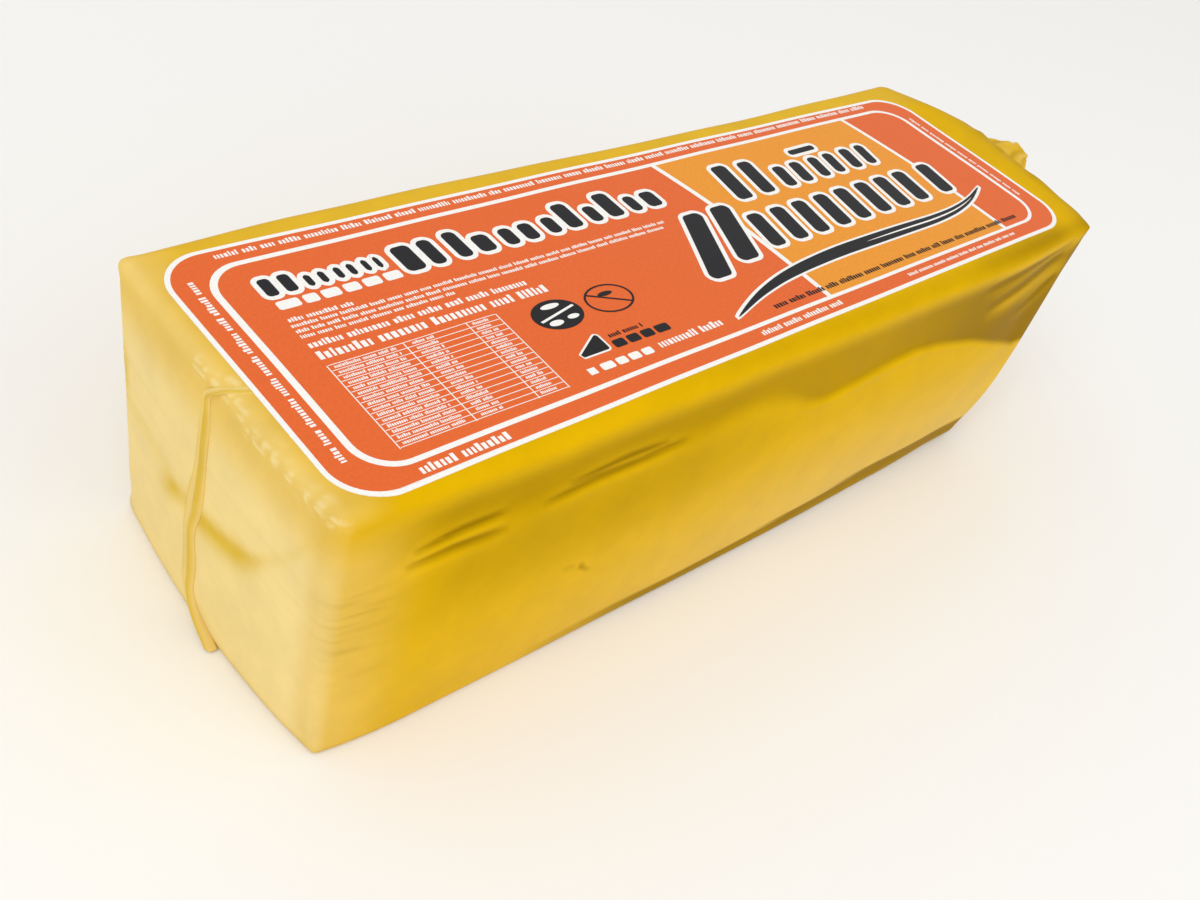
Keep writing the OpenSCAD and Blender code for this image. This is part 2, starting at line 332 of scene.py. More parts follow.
def tail_pleats(skin):
    """Pleats that gather towards the tail, with painted shade where they stand out and painted
    highlight between them.
    """
    y, z = skin.y, skin.z
    angle = np.arctan2(z - TAIL_Z, y - TAIL_Y)
    radius = np.hypot(y - TAIL_Y, z - TAIL_Z)
    pleats = np.cos(7 * angle) + 0.6 * np.cos(13 * angle + 1.0) + 0.4 * np.cos(23 * angle)
    skin.relief += skin.far * 0.4 * pleats * bell(radius - 22, 14)
    # Painted shade where the pleats stand out, painted highlight between them
    skin.deep += skin.far * 0.2 * np.clip(pleats, 0, 1) * bell(radius, 32)
    skin.pale += skin.far * 0.25 * np.clip(-pleats, 0, 1) * bell(radius, 32)


def end_folds(skin):
    """Folds of the film envelope and the soft spot beside the seam, with painted shade in them as a
    darker fold tone.
    """
    y, z = skin.y, skin.z
    d, along = path_distance(y, z, FRONT_FOLD)
    fade = mix(1.0, 0.22, smooth((along - 0.3) / 0.3))
    crease = bell(d, mix(4.6, 1.8, smooth((along - 0.3) / 0.25))) * fade
    skin.relief -= skin.near * 0.6 * crease
    # Painted shade, as a darker fold tone, along the folds, in the spot and by the back upright
    # edge
    skin.fold_and_shade += skin.near * crease
    d, along = path_distance(y, z, BACK_FOLD)
    skin.relief -= skin.near * 0.2 * bell(d, 2.5)
    skin.fold_and_shade += skin.near * 0.2 * bell(d, 3.5)
    dy, dz = y - FOLD_SPOT[0], z - FOLD_SPOT[1]
    spot = bell(np.hypot(dy / 1.5, dz + 0.45 * dy), 4.1)
    skin.relief -= skin.near * 0.5 * spot
    skin.fold_and_shade += skin.near * 0.95 * spot
    skin.fold_and_shade += skin.near * 0.9 * bell(y - 49.5, 3) * bell(z - 58, 8)


def loose_waves(skin):
    """Loose waves of the film everywhere."""
    x, y, z = skin.x, skin.y, skin.z
    skin.relief += 0.22 * skin.front * waves(x, z, 3, 46)
    skin.relief += 0.18 * skin.back * waves(x, z, 5, 40)
    skin.relief += 0.2 * skin.near * waves(y, z, 7, 30)
    skin.relief += 0.15 * skin.top * waves(x, y, 9, 70)


def painted_light_and_shade(skin):
    """Painted light on the seam end and towards the long sides' foot, and painted shade on the top
    edges and the tail end.
    """
    x, y, z = skin.x, skin.y, skin.z
    foot = smooth((62 - z) / 62)
    reach = smooth((x - 20) / 200)
    high, at_front = smooth((z - 66) / 20), smooth((-y - 38) / 16)
    # Painted sheen on the seam end
    skin.pale += skin.near * mix(1.0, 0.45, high) * mix(1.0, 0.55, at_front)
    # Painted light from the floor towards the long sides' foot, and next to the seam end's upright
    # edges
    upright = 0.3 * smooth((30 - x) / 30) * smooth((92 - z) / 20)
    skin.pale += (skin.front + skin.back) * (foot * mix(0.06, 0.38, reach) + upright)
    # Painted highlight on the top by the seam end and by the back edge
    skin.pale += skin.top * (0.3 * smooth((18 - x) / 16) + 0.1 * smooth((y - 30) / 14))
    # Painted shade on the top along the front edge, at the tail end's front corner, at the tail
    # end, and on its upper face
    skin.deep += skin.top * 0.3 * smooth((x - 80) / 70) * smooth((-y - 44) / 8)
    corner = smooth((x - 225) / 55) * smooth((-y - 37) / 13)
    skin.deep += skin.top * mix(0.5, 0.2, smooth((x - 290) / 12)) * corner
    skin.deep += skin.top * 0.2 * smooth((x - 300) / 12)
    skin.deep += 0.45 * skin.far * smooth((z - 62) / 20)
    skin.fold_and_shade += skin.base * 0.3


def film_fields(length, x, y, z, normal):
    """Relief in millimetres along the surface, and the film's fields: painted light, painted shade,
    and a fold tone that is partly painted shade.
    """
    skin = Skin(length, x, y, z, normal)
    for feature in (hollow, creases, hem, wrinkles, tail_pleats, end_folds, loose_waves, painted_light_and_shade):
        feature(skin)
    return skin.relief, *(np.clip(field, 0, 1) for field in (skin.pale, skin.deep, skin.fold_and_shade))


# ---- mesh helpers

def to_frame(bm):
    """Millimetres in the loaf's own axes to metres in the shared frame."""
    placed = Matrix.Translation((ORIGIN_X * MM, 0, 0)) @ Matrix.Scale(MM, 4)
    bmesh.ops.transform(bm, matrix=placed, verts=bm.verts)


def add_object(name, bm, material, smooth_faces=True):
    """Turns a finished bmesh into an object of one material."""
    mesh = bpy.data.meshes.new(name)
    bm.to_mesh(mesh)
    bm.free()
    for polygon in mesh.polygons:
        polygon.use_smooth = smooth_faces
    mesh.materials.append(material)
    piece = bpy.data.objects.new(name, mesh)
    bpy.context.scene.collection.objects.link(piece)
    return piece


def rounded_bar(size, middle, radius, segments):
    """A box with rounded edges."""
    bm = bmesh.new()
    bmesh.ops.create_cube(bm, size=1)
    bmesh.ops.scale(bm, vec=size, verts=bm.verts)
    bmesh.ops.translate(bm, vec=middle, verts=bm.verts)
    bmesh.ops.bevel(
        bm, geom=bm.edges[:], offset=radius, offset_type="OFFSET", affect="EDGES",
        segments=segments, profile=0.5, material=-1, clamp_overlap=True)
    return bm


def cut_grid(bm, axis, places):
    """Cuts the whole mesh along planes square to one axis."""
    normal = Vector((0, 0, 0))
    normal[axis] = 1
    for place in places:
        geom = bm.verts[:] + bm.edges[:] + bm.faces[:]
        bmesh.ops.bisect_plane(bm, geom=geom, plane_co=normal * place, plane_no=normal, dist=0.02)


def spread(start, stop, step):
    """Evenly spaced places strictly between two ends."""
    count = max(1, round((stop - start) / step))
    return [mix(start, stop, i / count) for i in range(1, count)]


# ---- materials

def node(tree, kind, inputs=None, **settings):
    """Adds one shader node. Its inputs are joined to other nodes' outputs or set to values."""
    made = tree.nodes.new("ShaderNode" + kind)
    for key, value in settings.items():
        setattr(made, key, value)
    for key, value in (inputs or {}).items():
        if isinstance(value, bpy.types.NodeSocket):
            tree.links.new(value, made.inputs[key])
        else:
            made.inputs[key].default_value = value
    return made


def new_material(name):
    """An empty node material and its tree."""
    material = bpy.data.materials.new(name)
    material.use_nodes = True
    material.node_tree.nodes.clear()
    return material, material.node_tree


# The part of a noise texture's range that is spread over a varied value
NOISE_RANGE = {"From Min": 0.3, "From Max": 0.7}


def film_material(s, name):
    """Shrink film over cheese: polythene drawn tight, so smooth, with a weak yellowish shine.

    Its colour goes lighter where light is painted in, as sheen on the seam end and floor light
    towards the foot. It goes deeper where shade is painted in, in hollows and creases, and to a
    fold tone where it is doubled, which is partly painted shade.
    """
    material, tree = new_material(name)
    place = node(tree, "TexCoord").outputs["Object"]
    fields = node(tree, "Attribute", attribute_name="film_fields")
    split = node(tree, "SeparateColor", {"Color": fields.outputs["Color"]})
    colour = tuple(s.yellow) + (1,)
    # Film yellow, mixed towards a lighter yellow where light is painted in, a deeper one where
    # shade is painted in, and a fold tone that is partly painted shade
    for field, tone in (("Red", s.pale_yellow), ("Green", s.deep_yellow), ("Blue", s.fold_and_shade_yellow)):
        values = {0: split.outputs[field], 6: colour, 7: tuple(tone) + (1,)}
        colour = node(tree, "Mix", values, data_type="RGBA").outputs[2]
    # Mottling about 14 mm across, as where film and cheese touch unevenly
    mottle = node(
        tree, "TexNoise",
        {"Vector": place, "Scale": 1 / (14 * MM), "Detail": 3.0, "Roughness": 0.6})
    shade = node(
        tree, "MapRange",
        {"Value": mottle.outputs["Fac"], **NOISE_RANGE, "To Min": 0.95, "To Max": 1.04})
    mottled = node(
        tree, "VectorMath", {0: colour, 1: shade.outputs["Result"]}, operation="MULTIPLY")
    # Fine puckers about 5 mm apart, drawn out along the loaf
    stretch = node(tree, "Mapping", {"Vector": place, "Scale": (0.35, 1.0, 1.0)})
    pucker = node(
        tree, "TexNoise",
        {"Vector": stretch.outputs["Vector"], "Scale": 1 / (5 * MM),
         "Detail": 4.0, "Roughness": 0.55})
    bump = node(
        tree, "Bump", {"Height": pucker.outputs["Fac"], "Strength": s.pucker, "Distance": 0.6 * MM})
    rough = node(
        tree, "MapRange",
        {"Value": mottle.outputs["Fac"], **NOISE_RANGE,
         "To Min": s.roughness - 0.05, "To Max": s.roughness + 0.08})
    shader = node(
        tree, "BsdfPrincipled",
        {"Base Color": mottled.outputs["Vector"], "Roughness": rough.outputs["Result"],
         "Normal": bump.outputs["Normal"], "IOR": 1.5, "Specular IOR Level": s.shine,
         "Specular Tint": tuple(s.glint) + (1,)})
    node(tree, "OutputMaterial", {"Surface": shader.outputs["BSDF"]})
    return material


def print_material(name, colour):
    """Ink on a label film: satin, an even colour with the faint grain of a printing screen."""
    material, tree = new_material(name)
    place = node(tree, "TexCoord").outputs["Object"]
    # Screen grain is about 0.1 mm; drawn at 0.9 mm so that it shows
    grain = node(tree, "TexNoise", {"Vector": place, "Scale": 1 / (0.9 * MM), "Detail": 2.0})
    shade = node(
        tree, "MapRange",
        {"Value": grain.outputs["Fac"], **NOISE_RANGE, "To Min": 0.955, "To Max": 1.045})
    tint = node(tree, "VectorMath", {0: colour, 1: shade.outputs["Result"]}, operation="MULTIPLY")
    # The label's film cockles softly over about 22 mm
    cockle = node(tree, "TexNoise", {"Vector": place, "Scale": 1 / (22 * MM), "Detail": 2.0})
    bump = node(
        tree, "Bump", {"Height": cockle.outputs["Fac"], "Strength": 0.15, "Distance": 0.8 * MM})
    shader = node(
        tree, "BsdfPrincipled",
        {"Base Color": tint.outputs["Vector"], "Normal": bump.outputs["Normal"],
         "Roughness": 0.42, "IOR": 1.45, "Specular IOR Level": 0.2})
    node(tree, "OutputMaterial", {"Surface": shader.outputs["BSDF"]})
    return material


def floor_material():
    """Matt painted board for the stage: rough, so that it gives no glint."""
    material, tree = new_material("matt_white_board")
    shader = node(tree, "BsdfPrincipled", {"Base Color": linear("#FCFBF8"), "Roughness": 0.9})
    node(tree, "OutputMaterial", {"Surface": shader.outputs["BSDF"]})
    return material


# ---- settings

def length_property(name, description, millimetres):
    """A length, given in millimetres and kept in metres."""
    return FloatProperty(
        name=name, description=description, default=millimetres * MM,
        unit="LENGTH", subtype="DISTANCE")


def colour_property(name, description, code):
    """A colour, given as an sRGB hex code and kept linear."""
    return FloatVectorProperty(
        name=name, description=description, default=linear(code)[:3], subtype="COLOR", size=3)


def share_property(name, description, share):
    """A share of one."""
    return FloatProperty(name=name, description=description, default=share, subtype="FACTOR")


def power_property(name, description, watts):
    """A lamp's power."""
    return FloatProperty(name=name, description=description, default=watts, unit="POWER")


class LoafFormSettings(bpy.types.PropertyGroup):
    """Sizes of the loaf."""
    length: length_property("Length", "Length of the top", 311)
    width: length_property("Width", "Width at the ends", 104)
    swell: length_property("Swell", "How far the long sides swell out", 1.8)
    edge_radius: length_property("Edge radius", "Rounding of the edges", 4)


class LoafFilmSettings(bpy.types.PropertyGroup):
    """Looks of the shrink film."""
    yellow: colour_property("Yellow", "Film tight on the cheese", "#E3B306")
    # Painted light: the lighter yellow for the sheen on the seam end and the floor light towards
    # the sides' foot
    pale_yellow: colour_property("Pale yellow", "Film that stands off the cheese", "#F4DA92")
    # Painted shade: the deeper yellow in the hollow under the front top edge, in creases and pleats
    deep_yellow: colour_property("Deep yellow", "Film in the hollow under the edge", "#9A7500")
    # Fold tone, partly painted shade in the folds on the seam end
    fold_and_shade_yellow: colour_property("Fold yellow", "Film doubled in a fold", "#DFB93C")
    glint: colour_property("Glint", "Tint of the film's reflection", "#FFDF70")
    pucker: share_property("Pucker", "Strength of the fine puckers", 0.2)
    roughness: share_property("Roughness", "Roughness of the film", 0.34)
    shine: share_property("Shine", "Strength of the film's reflection", 0.012)


class LoafLabelSettings(bpy.types.PropertyGroup):
    """Sizes and inks of the label."""
    sheet: length_property("Sheet", "Thickness of the label film", 0.2)
    ink: length_property("Ink", "Thickness of one layer of ink", 0.03)
    edging: length_property("Edging", "Width of the white edging round black shapes", 1.5)
    orange: colour_property("Orange", "Orange ink", "#E8692C")
    amber: colour_property("Amber", "Amber ink", "#F09A2A")
    white: colour_property("White", "White film and ink", "#FAF8F3")
    black: colour_property("Black", "Black ink", "#1C1C1F")


class LoafSeamSettings(bpy.types.PropertyGroup):
    """Sizes of the film seam."""
    width: length_property("Width", "Width of the fin half way down", 6.6)
    thickness: length_property("Thickness", "Thickness of the fin's bead", 1.5)
    bow: length_property("Bow", "How far the seam bows to the back", 9.5)
    lip: length_property("Lip", "How far its foot stands off the loaf", 2)


class LoafTailSettings(bpy.types.PropertyGroup):
    """Shape of the gathered tail."""
    rooted: length_property("Rooted", "How far the gathers run back over the loaf", 7)
    pleat: share_property("Pleat", "Depth of the pleats as a share", 0.09)


class LoafStageSettings(bpy.types.PropertyGroup):
    """Light of the stage."""
    room: FloatProperty(name="Room", description="Strength of the room's even light", default=0.78)
    key: power_property("Key", "Power of the lamp over the seam end", 6.0)
    front: power_property("Front", "Power of the lamp in front of the long side", 2.5)


# ---- film

def form_sizes(context):
    """The loaf's sizes in millimetres."""
    group = context.scene.loaf_form
    return SimpleNamespace(
        length=group.length / MM, width=group.width / MM, height=LOAF_H,
        swell=group.swell / MM, edge=group.edge_radius / MM)


# The finished film, which the seam and the label are laid on
SURFACE = {}


def cast(start, direction):
    """Place where a line meets the finished film."""
    hit = SURFACE["film"].ray_cast(Vector(start), Vector(direction))[0]
    if hit is None:
        raise RuntimeError(f"no film on the line from {tuple(start)}")
    return hit


class LOAF_OT_film(bpy.types.Operator):
    """Make the film drawn tight over the loaf"""
    bl_idname = "loaf.film"
    bl_label = "Film wrap"

    def execute(self, context):
        s = form_sizes(context)
        size = s.length, s.width, s.height
        bm = rounded_bar(size, (s.length / 2, 0, s.height / 2), s.edge, 7)
        # The grid is finer near both ends and over the upper part, where the creases are
        near, far, upper = 30, s.length - 24, 38
        cut_grid(bm, 0, spread(s.edge, near, 1.0))
        cut_grid(bm, 0, spread(near, far, 2.2))
        cut_grid(bm, 0, spread(far, s.length - s.edge, 1.3))
        cut_grid(bm, 1, spread(s.edge - s.width / 2, s.width / 2 - s.edge, 1.4))
        cut_grid(bm, 2, spread(s.edge, upper, 2.0))
        cut_grid(bm, 2, spread(upper, s.height - s.edge, 1.1))
        bmesh.ops.recalc_face_normals(bm, faces=bm.faces)
        bm.normal_update()
        x, y, z = np.array([v.co for v in bm.verts]).T
        normal = np.array([v.normal for v in bm.verts])
        relief, *fields = film_fields(s.length, x, y, z, normal)
        # The relief fades out at the foot, and the base stays flat
        moved = np.stack(loaf_form(s, x, y, z), 1) + normal * (relief * smooth(z / 4))[:, None]
        moved[:, 2] = np.clip(moved[:, 2], 0, s.height + 0.3)
        for vertex, place in zip(bm.verts, moved):
            vertex.co = place
        SURFACE["film"] = BVHTree.FromBMesh(bm)
        film_piece("film_wrap", bm, fields, "shrink_film_on_cheese", "block")
        return {"FINISHED"}


def finish_piece(piece, replaced=None):
    """Ties a finished piece to the frame."""
    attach(piece, BODY)
    if replaced:
        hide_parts(replaced)


def film_piece(name, bm, fields, material_name, replaced):
    """Finishes a piece of film, with its painted light, painted shade and fold tone fields kept on
    the mesh.
    """
    to_frame(bm)
    film = film_material(bpy.context.scene.loaf_film, material_name)
    piece = add_object(name, bm, film)
    attribute = piece.data.color_attributes.new("film_fields", "FLOAT_COLOR", "POINT")
    colours = np.ones((len(piece.data.vertices), 4), np.float32)
    colours[:, :3] = np.stack(fields, 1)
    attribute.data.foreach_set("color", colours.ravel())
    finish_piece(piece, replaced)


# ---- seam and tail

# The seam's route: its place under the top edge, the heights over which it bows to the back, the
# height and hook of its foot, and its slant to the front over the top edge
SEAM_OFF = 4.8
BOW_TOP, BOW_ZONE = 66, 36
FOOT_H, FOOT_HOOK = 14, 15
TOP_SLANT, SLANT_ZONE = 10, 12
# Height below which the fin leaves the film, and how deep it is rooted in it
FIN_FLOOR, FIN_ROOT = 2.5, 0.25


class LOAF_OT_seam(bpy.types.Operator):
    """Make the film's welded seam on the end"""
    bl_idname = "loaf.seam"
    bl_label = "Film seam"

    def execute(self, context):
        s = form_sizes(context)
        group = context.scene.loaf_seam
        fin = SimpleNamespace(
            width=group.width / MM, thickness=group.thickness / MM,
            bow=group.bow / MM, lip=group.lip / MM)
        # A flat bar to be bent: x across the fin, y through it, z down its route in hundredths
        bm = rounded_bar((2, 1, 100), (0, 0.5, 50), 0.3, 3)
        cut_grid(bm, 0, spread(-0.7, 0.7, 0.14))
        cut_grid(bm, 2, spread(0.3, 99.7, 0.8))
        fields = []
        for vertex in bm.verts:
            vertex.co, field = self.place(s, fin, *vertex.co)
            fields.append(field)
        film_piece("seam_fin", bm, np.array(fields).T, "welded_film_fold", "seam")
        return {"FINISHED"}

    def place(self, s, fin, u, t, run):
        """Place and fields of one vertex: u is -1 at the fin's front, t is 0 at the loaf."""
        turn = s.edge
        flat = LABEL_GAP - turn
        bend = turn * math.pi / 2
        path = run / 100 * (flat + bend + s.height - turn - 0.3)
        beyond = max(0.0, path - flat)
        z = s.height - turn - max(0.0, beyond - bend)
        foot = max(0.0, 1 - z / FOOT_H)
        # It widens below the top edge and narrows at the foot
        half = 0.5 * fin.width * mix(0.5, 1.06, smooth(beyond / 50)) * (1 - 0.2 * foot)
        y = SEAM_OFF + (fin.bow - SEAM_OFF) * smooth((BOW_TOP - z) / BOW_ZONE)
        y -= FOOT_HOOK * foot * foot
        on_top = 1 - smooth(path / SLANT_ZONE)
        y -= TOP_SLANT * on_top
        y += u * half + 0.3 * math.sin(path / 4.3) * (1 - u)
        angle = min(math.pi / 2, beyond / turn)
        normal = Vector((-math.sin(angle), 0, math.cos(angle)))
        pivot = Vector((turn + max(0.0, flat - path), y, max(z, FIN_FLOOR)))
        hit = cast(pivot + normal * 60, -normal)
        # A bead near its front, thin over the top, with a small knuckle where it turns down
        bead = fin.thickness * (0.35 + 0.65 * math.exp(-((u + 0.35) / 0.45) ** 2))
        bead *= mix(1.0, 0.4, on_top)
        bead += 0.7 * math.exp(-((path - 7) / 2.2) ** 2)
        lift = fin.lip * max(0.0, 1 - z / (FOOT_H + 2)) ** 2
        ripple = 0.18 * math.sin(path / 2.7 + 2 * u) * (0.3 + foot)
        spot = hit + normal * (t * (lift + bead + ripple) - FIN_ROOT)
        if z < FIN_FLOOR:
            spot.z = z
        # Painted light over the whole fin; a painted shadow line along the bead's front, in the
        # shade and fold fields; and a fold tone over the fin, more along its back edge
        line = math.exp(-((u + 0.45) / 0.35) ** 2)
        upper = smooth((z - 42) / 12) * smooth((88 - z) / 10)
        back_edge = math.exp(-((u - 0.92) / 0.12) ** 2)
        return spot, (0.8, 0.5 * line * upper, min(1.0, 0.15 + 0.75 * line + 0.4 * back_edge))


# The tail from its tip back to the loaf: distance, half width, half height, height of the middle
TAIL_STATIONS = np.array((
    (0, 5.2, 4.2, 84.0), (2.5, 6.6, 5.0, 84.0), (5.5, 7.4, 5.8, 84.3), (9.5, 7.6, 6.1, 84.7),
    (13.5, 9.2, 6.8, 84.9), (17.5, 12.2, 7.7, 84.6), (21.5, 15.2, 8.4, 84.1),
    (27, 17.5, 8.4, 83.7))).T
# Share of the tail's length where its tip starts to round off, and over which its root opens
TIP_SHARE, ROOT_SHARE = 0.82, 0.05


class LOAF_OT_tail(bpy.types.Operator):
    """Make the film's end, gathered and crushed into a knob"""
    bl_idname = "loaf.tail"
    bl_label = "Film tail"

    def execute(self, context):
        group = context.scene.loaf_tail
        start, tip = TAIL_LO.x - ORIGIN_X - group.rooted / MM, TAIL_HI.x - ORIGIN_X
        bm = bmesh.new()
        bmesh.ops.create_uvsphere(bm, u_segments=96, v_segments=56, radius=1)
        fields = []
        for vertex in bm.verts:
            b, c, a = vertex.co
            t = 1 - math.acos(max(-1.0, min(1.0, a))) / math.pi
            angle = math.atan2(c, b)
            x = mix(start, tip, t)
            # Closed over the last part of the tip and at the root
            rounding = max(0.0, (t - TIP_SHARE) / (1 - TIP_SHARE))
            closing = math.sqrt(max(0.0, 1 - rounding ** 2)) * smooth(t / ROOT_SHARE)
            half_y, half_z, middle = (
                np.interp(tip - x, TAIL_STATIONS[0], row) for row in TAIL_STATIONS[1:])
            pleat = math.cos(7 * angle + 2.2 * t) + 0.5 * math.cos(13 * angle - 1.5 * t + 1)
            crush = math.sin(5 * a + 3 * b) * math.cos(4 * c + 2)
            grow = closing * (1 - group.pleat + group.pleat * 0.66 * pleat + 0.05 * crush)
            x -= (0.35 + 0.35 * crush) * smooth((t - 0.7) / 0.3)
            y = TAIL_Y + grow * half_y * math.cos(angle)
            vertex.co = (x, y, middle + grow * half_z * math.sin(angle))
            # Painted highlight on the pleats' crests towards the tip, painted shade in their
            # valleys
            pale, deep = 0.06 + 0.45 * max(0.0, pleat - 0.3) * t, 0.3 * max(0.0, -pleat)
            fields.append((pale, deep, 0.25 * t))
        fields = np.clip(np.array(fields).T, 0, 1)
        bmesh.ops.recalc_face_normals(bm, faces=bm.faces)
        film_piece("tail_knob", bm, fields, "gathered_film", "tail")
        return {"FINISHED"}


# ---- label

# Corners of the label's edges in millimetres, anticlockwise from the near front, and the radius
# of their rounding: the film itself, the orange border's outer and inner edge
SHEET = ((5.0, -49.6), (306.8, -44.2), (306.8, 43.3), (5.0, 47.3)), 13.5
BORDER_OUT = ((6.4, -48.1), (305.4, -42.8), (305.4, 41.9), (6.4, 45.9)), 12.3
BORDER_IN = ((14.2, -42.9), (298.4, -37.9), (298.4, 37.5), (14.2, 39.8)), 11.5
# Ends of the inner panel, the radius and half breadth of its rounding
PANEL_X = (16.2, 296.7)
PANEL_R, PANEL_HALF = 10.0, 39.0
# Steps in the arc of a large corner
ARC_STEPS = 12
# The first layer's gap above the film, and the gap between layers
LABEL_LIFT, LAYER_GAP = 0.02, 0.01
# Steps of the common grid that every layer of the label is cut along
LABEL_STEP = 4.6


def rounded(corners, radius, steps=7):
    """Outline of a convex shape, given anticlockwise, with its corners rounded."""
    loop = []
    for i, corner in enumerate(corners):
        here = Vector(corner)
        back = (Vector(corners[i - 1]) - here).normalized()
        ahead = (Vector(corners[(i + 1) % len(corners)]) - here).normalized()
        half = back.angle(ahead) / 2
        centre = here + (back + ahead).normalized() * (radius / math.sin(half))
        reach = radius / math.tan(half)
        start, stop = here + back * reach - centre, here + ahead * reach - centre
        arc = (start.lerp(stop, k / steps).normalized() for k in range(steps + 1))
        loop += [centre + spoke * radius for spoke in arc]
    return loop


def grown(corners, margin):
    """A convex shape given anticlockwise, with every edge moved outwards."""
    lines = []
    for i, corner in enumerate(corners):
        here, ahead = Vector(corner), Vector(corners[(i + 1) % len(corners)])
        along = (ahead - here).normalized()
        lines.append((here + Vector((along.y, -along.x)) * margin, along))
    moved = []
    for (p, a), (q, b) in zip([lines[-1]] + lines[:-1], lines):
        t = (q - p).cross(b) / a.cross(b)
        moved.append(p + a * t)
    return moved


def ellipse(x, y, rx, ry, steps=40):
    """Outline of an ellipse."""
    turns = [2 * math.pi * k / steps for k in range(steps)]
    return [Vector((x + rx * math.cos(a), y + ry * math.sin(a))) for a in turns]


def box(x0, y0, x1, y1, slant=0.0):
    """Corners of an upright box, its top pushed along by slant."""
    return ((x0, y0), (x1, y0), (x1 + slant, y1), (x0 + slant, y1))


class Layer:
    """One layer of ink or film on the loaf's top, drawn flat and then laid down."""

    def __init__(self):
        self.bm = bmesh.new()

    def fill(self, loop):
        """One face inside an outline."""
        self.bm.faces.new([self.bm.verts.new((p[0], p[1], 0)) for p in loop])

    def ribbon(self, one, other, closed=False):
        """Faces between two lines of equally many points."""
        pairs = [[self.bm.verts.new((p[0], p[1], 0)) for p in line] for line in (one, other)]
        count = len(one)
        for i in range(count if closed else count - 1):
            j = (i + 1) % count
            self.bm.faces.new((pairs[0][i], pairs[0][j], pairs[1][j], pairs[1][i]))

    def words(self, start, stop, height, seed, slope=0.0):
        """A row of small upright ticks in groups, in place of a line of words, along x or y."""
        rng = random.Random(seed)
        (x0, y0), (x1, y1) = start, stop
        upright = x0 == x1
        length = abs(y1 - y0) if upright else x1 - x0
        done = 0.0
        while done < length:
            group = min(done + rng.uniform(2.5, 7.5) * max(1.0, height), length)
            while done < group:
                size = height * rng.uniform(0.32, 0.62)
                low, high = -height / 2, height * rng.choice((0.5, 0.5, 0.5, 0.8))
                if upright:
                    a = y0 - done
                    self.fill(box(x0 - high, a - size, x0 - low, a))
                else:
                    y = y0 + slope * done
                    self.fill(box(x0 + done, y + low, x0 + done + size, y + high))
                done += size + 0.26 * height
            done += 0.7 * height

    def laid(self, name, material, lift, thickness):
        """Lays the layer on the film and thickens it to a closed sheet."""
        bm = self.bm
        cut_grid(bm, 0, spread(0, 320, LABEL_STEP))
        cut_grid(bm, 1, spread(-60, 60, LABEL_STEP))
        for vertex in bm.verts:
            vertex.co.z = cast((vertex.co.x, vertex.co.y, 200), (0, 0, -1)).z + lift
        made = bmesh.ops.extrude_face_region(bm, geom=bm.faces[:], use_keep_orig=True)
        raised = [item for item in made["geom"] if isinstance(item, bmesh.types.BMVert)]
        bmesh.ops.translate(bm, vec=(0, 0, thickness), verts=raised)
        bmesh.ops.recalc_face_normals(bm, faces=bm.faces)
        to_frame(bm)
        return add_object(name, bm, material, smooth_faces=False)


def panel_point(x, v):
    """Place in the label's inner panel: v is -1 on its front edge and 1 on its back edge."""
    # The panel narrows towards the tail end
    front, back = -41.4 + 0.0158 * x, 38.2 - 0.0073 * x
    return Vector((x, mix(front, back, (v + 1) / 2)))


def panel_line(x_back, x_front):
    """The curved line across the panel, leaning towards the seam end at the back."""
    return lambda v: mix(x_front, x_back, ((v + 1) / 2) ** 2.8)


def panel_end(x, inward):
    """The panel's rounded end."""
    def edge(v):
        d = min(PANEL_R, (1 - abs(v)) * PANEL_HALF)
        return x + inward * (PANEL_R - math.sqrt(PANEL_R * PANEL_R - (PANEL_R - d) ** 2))
    return edge


def panel_field(layer, one, other):
    """Fills the panel between two lines across it."""
    places = [math.sin(math.pi * (k / 44 - 0.5)) for k in range(45)]
    layer.ribbon(*([panel_point(line(v), v) for v in places] for line in (one, other)))


# Black shapes with a white edge that stand in place of big words: corners and corner radius.
# The title is a short row and a tall row of bars, each bar from x0 to x1 and up to y1
TITLE = (
    [(box(x0, 23.4, x1, y1), 1.2) for x0, x1, y1 in (
        (26.5, 30, 30.6), (32.2, 35.6, 30.6), (38.6, 40.6, 28.2), (42.8, 44.8, 28.2),
        (47.6, 49.6, 28.2), (51.6, 53.6, 28.2), (56.2, 58, 28.2), (60, 61.6, 28.2))]
    + [(box(x0, 18.6, x1, y1), 1.8) for x0, x1, y1 in (
        (66.5, 72.5, 29.8), (75, 79.5, 29.8), (84, 88.6, 30.4), (91.4, 97, 26.2),
        (101, 105.6, 26.2), (108.2, 113, 26.2), (117, 121.4, 26.2), (124.2, 129.6, 30.4),
        (133.4, 137.8, 26.2),
        (140.6, 146.4, 30.4), (150, 154.2, 26.2), (157, 162.6, 26.2))]
)
# The banner is a slanted row, a flat bar over it, two large slabs and an even row
BANNER = (
    [(box(x0, 10.6, x1, y1, slant), 1.8) for x0, x1, y1, slant in (
        (189.5, 196, 29, 3), (201, 207, 28, 3), (213, 218, 21.6, 2.2), (221.5, 226.5, 21.6, 2.2),
        (231, 235.6, 21.6, 2.2), (239, 243.6, 21.6, 2.2), (248, 253, 21.6, 2.2),
        (256.5, 261, 21.6, 2.2))]
    + [(box(229, 25, 242, 27.6, 1), 1.1)]
    + [(((148, -18.4), (157, -18.4), (171, 11), (163, 11)), 2.2)]
    + [(((164, -15), (172.5, -15), (183, 11), (175, 11)), 2.2)]
    + [(box(x, -13.2, x + 6.3, 3.4, 3), 2) for x in (
        181, 192, 202.5, 213.5, 224, 235, 245.5, 256, 270)]
)
